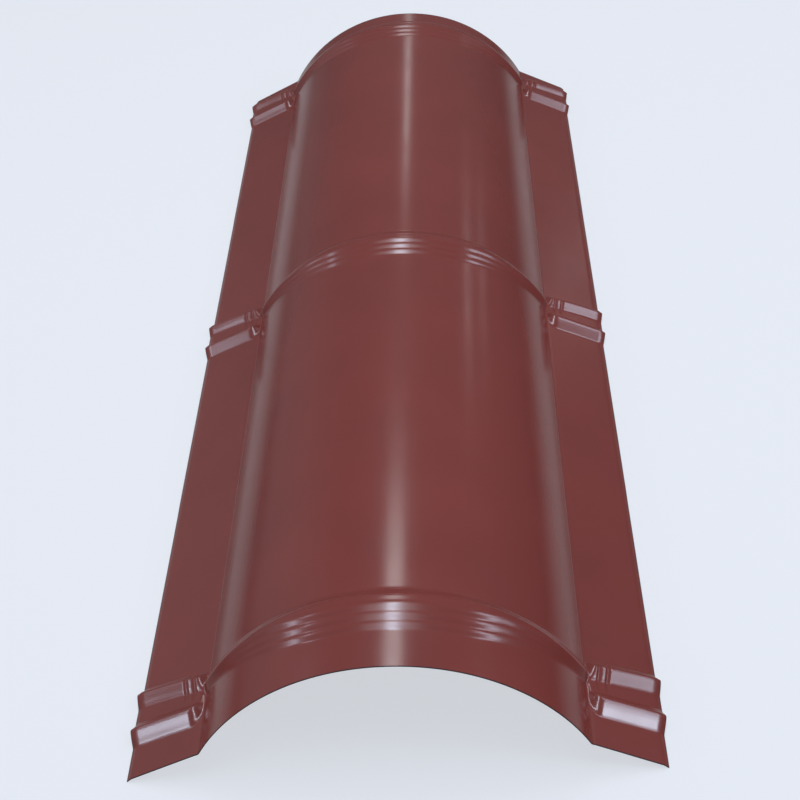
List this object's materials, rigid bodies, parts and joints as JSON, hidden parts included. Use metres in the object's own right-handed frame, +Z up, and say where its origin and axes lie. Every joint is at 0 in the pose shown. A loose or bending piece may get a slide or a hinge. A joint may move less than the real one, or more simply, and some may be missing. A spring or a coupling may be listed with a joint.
{
  "type": "roof ridge cap",
  "caption": "Half-round roof ridge cap of pressed coated steel sheet, with a sloping flange on each side and ribbed bead stations across it.",
  "frame": {"origin": "on the floor under the middle of the cap, midway between its two ends and its two flanges", "axes": "+X across the ridge, +Y along the ridge away from the end shown nearest in the picture, +Z up"},
  "size_m": [0.3552, 0.985, 0.1048],
  "materials": {
    "painted_steel": "satin-gloss oxide red coil coating on both faces, bare steel only at the cut edges"
  },
  "bodies": {
    "root": {"ridge_cap": "painted_steel"}
  },
  "joints": []
}
